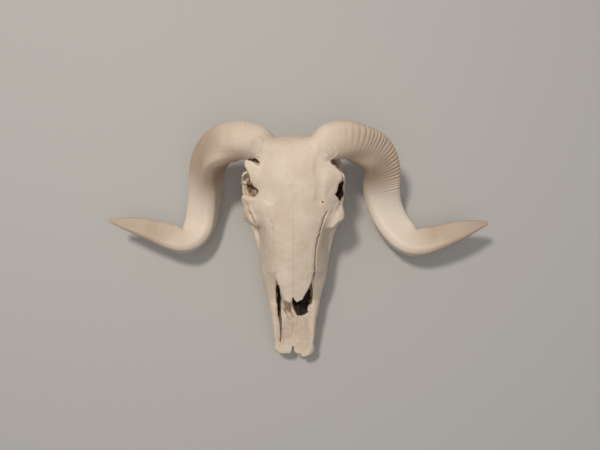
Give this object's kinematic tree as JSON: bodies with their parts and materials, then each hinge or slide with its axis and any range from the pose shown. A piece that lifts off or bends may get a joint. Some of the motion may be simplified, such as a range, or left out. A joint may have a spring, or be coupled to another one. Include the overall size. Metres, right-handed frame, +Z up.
{
  "type": "ram skull",
  "caption": "Ram's skull without its lower jaw, with both horns curling out, down and up again to the tips, lying flat.",
  "frame": {"origin": "middle of the underside of the whole part's box, on the ground it rests on", "axes": "+Z up, the nose along -Y, the animal's left along +X, and the horns' span along X"},
  "size_m": [0.4686, 0.291, 0.1285],
  "materials": {
    "bone": "dry, matt, bleached bone",
    "horn": "dry, pale horn, ringed on its outer side"
  },
  "bodies": {
    "root": {"premaxilla_left": "bone", "premaxilla_right": "bone", "lacrimal_left": "bone", "lacrimal_right": "bone", "zygomatic_left": "bone", "zygomatic_right": "bone", "frontal_left": "bone", "frontal_right": "bone", "maxilla_left": "bone", "maxilla_right": "bone", "occipital": "bone", "parietal": "bone", "temporal_left": "bone", "temporal_right": "bone", "sphenoid": "bone", "nasal_left": "bone", "nasal_right": "bone", "horn_left": "horn", "horn_right": "horn"}
  },
  "joints": []
}
